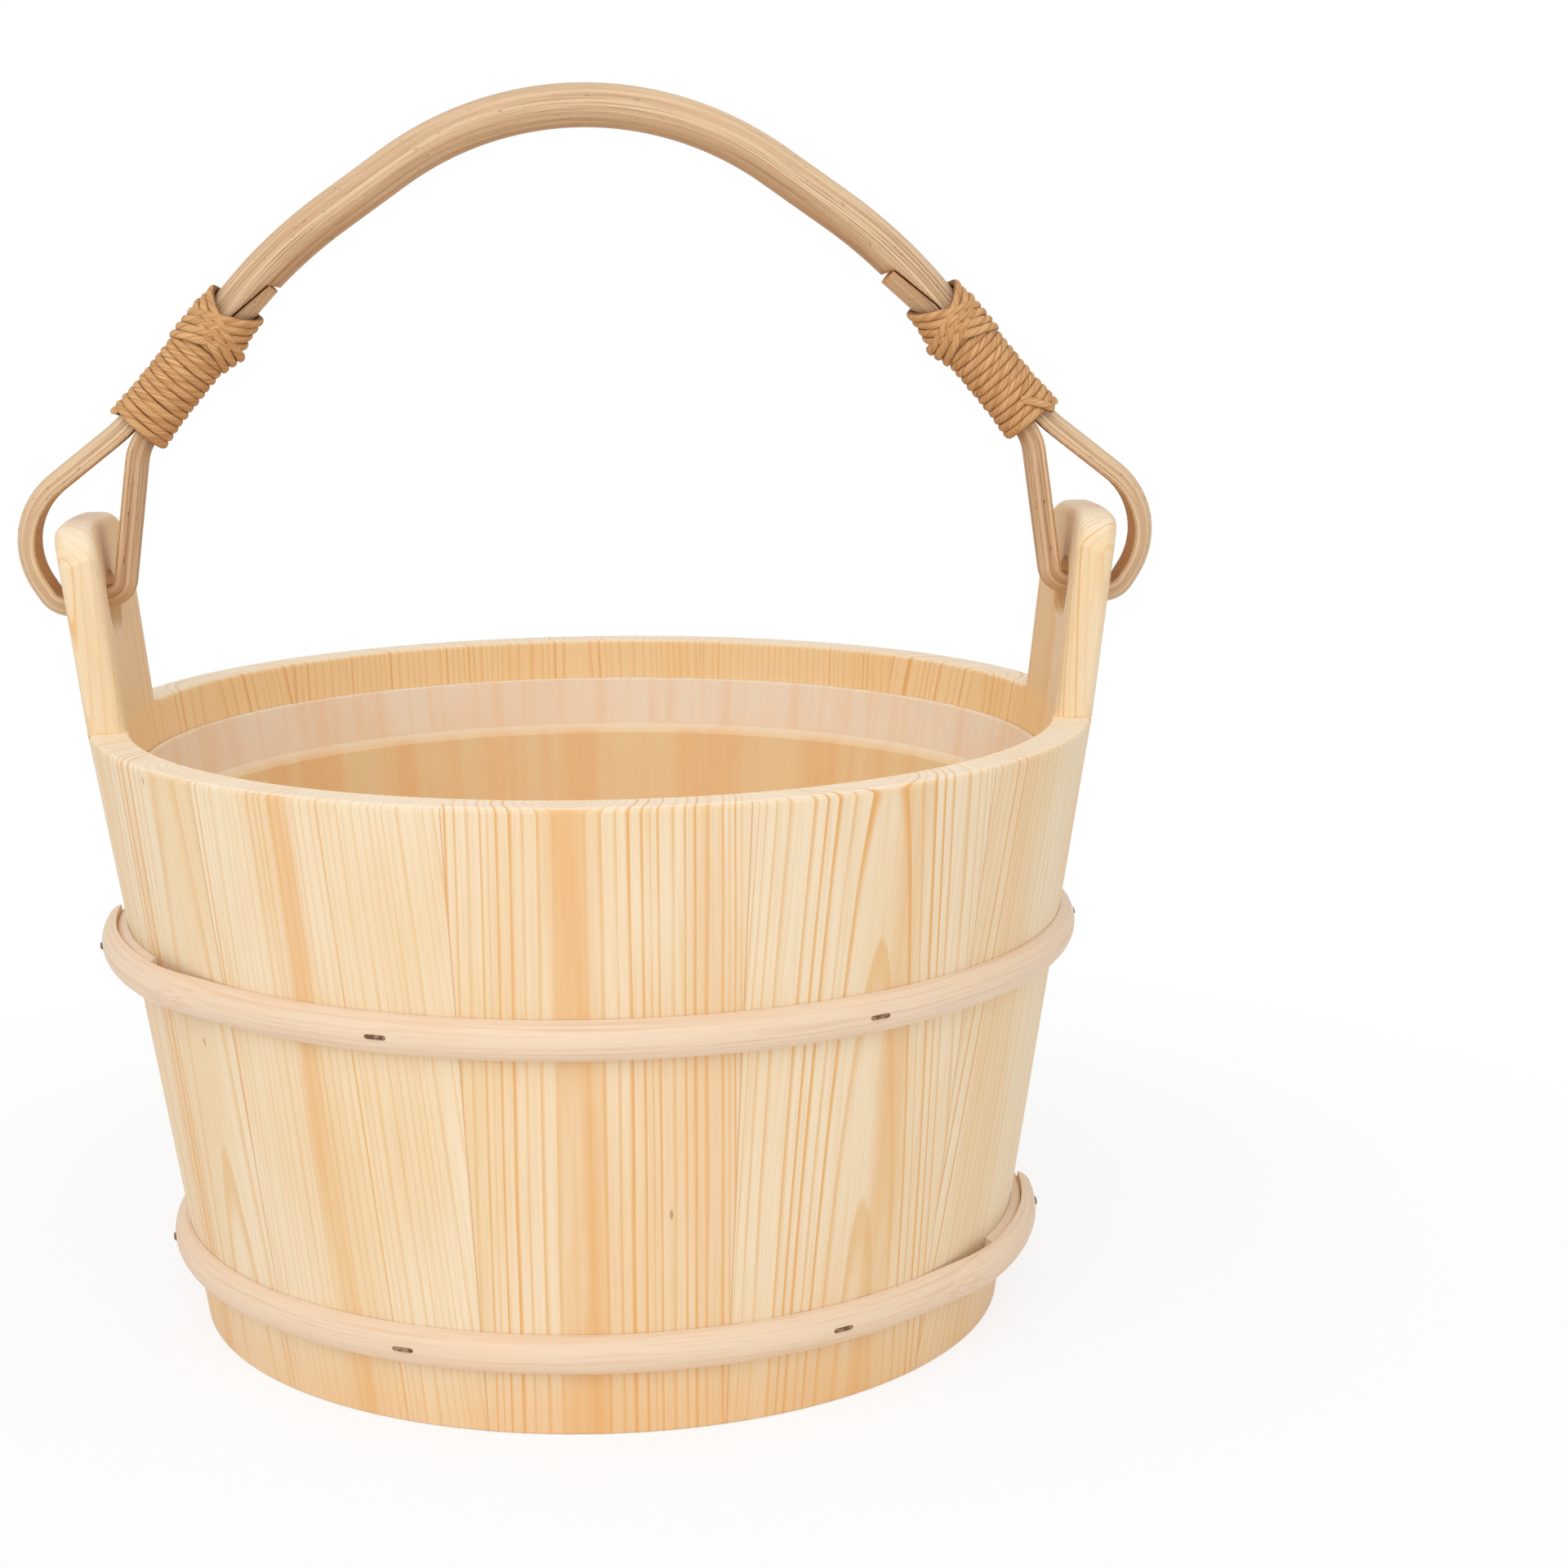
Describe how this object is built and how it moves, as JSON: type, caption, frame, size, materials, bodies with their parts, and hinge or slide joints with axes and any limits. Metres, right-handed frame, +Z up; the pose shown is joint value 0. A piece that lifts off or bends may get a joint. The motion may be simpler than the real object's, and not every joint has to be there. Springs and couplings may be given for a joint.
{
  "type": "wooden stave pail with bail",
  "caption": "Tapered wooden stave pail with pierced ears, a swinging split-cane bail lashed with twine, lapped cane hoops and a loose plastic liner.",
  "frame": {"origin": "centre of the foot, on the surface that the pail stands on", "axes": "+Z up the pail's axis, X through both ears and along the bail's pivot, -Y to the front"},
  "size_m": [0.2938, 0.2596, 0.3176],
  "materials": {
    "pine_staves": "sanded, unvarnished",
    "pine_boards": "sanded, unvarnished",
    "cane_hoops": "peeled cane, satin",
    "staple_wire": "drawn wire",
    "liner_plastic": "frosted, translucent",
    "cane_bail": "natural cane bark, satin",
    "twine": "paper-like twisted twine"
  },
  "bodies": {
    "pail": {"stave_01": "pine_staves", "stave_02": "pine_staves", "stave_03": "pine_staves", "stave_04": "pine_staves", "stave_05": "pine_staves", "stave_06": "pine_staves", "stave_07": "pine_staves", "stave_08": "pine_staves", "stave_09": "pine_staves", "stave_10": "pine_staves", "ear_stave_left": "pine_staves", "ear_stave_right": "pine_staves", "bottom_board_1": "pine_boards", "bottom_board_2": "pine_boards", "bottom_board_3": "pine_boards", "bottom_board_4": "pine_boards", "hoop_upper": "cane_hoops", "hoop_lower": "cane_hoops", "hoop_staples_upper": "staple_wire", "hoop_staples_lower": "staple_wire"},
    "liner": {"liner": "liner_plastic"},
    "bail": {"bail_cane": "cane_bail", "lashing_left": "twine", "lashing_right": "twine"}
  },
  "joints": [
    {"name": "bail_swing", "type": "hinge", "parent": "pail", "child": "bail", "pos_m": [0, 0, 0.187], "axis": [1, 0, 0], "range_deg": [-100, 100]},
    {"name": "liner_lift", "type": "slide", "parent": "pail", "child": "liner", "axis": [0, 0, 1], "range_m": [0, 0.014]}
  ]
}
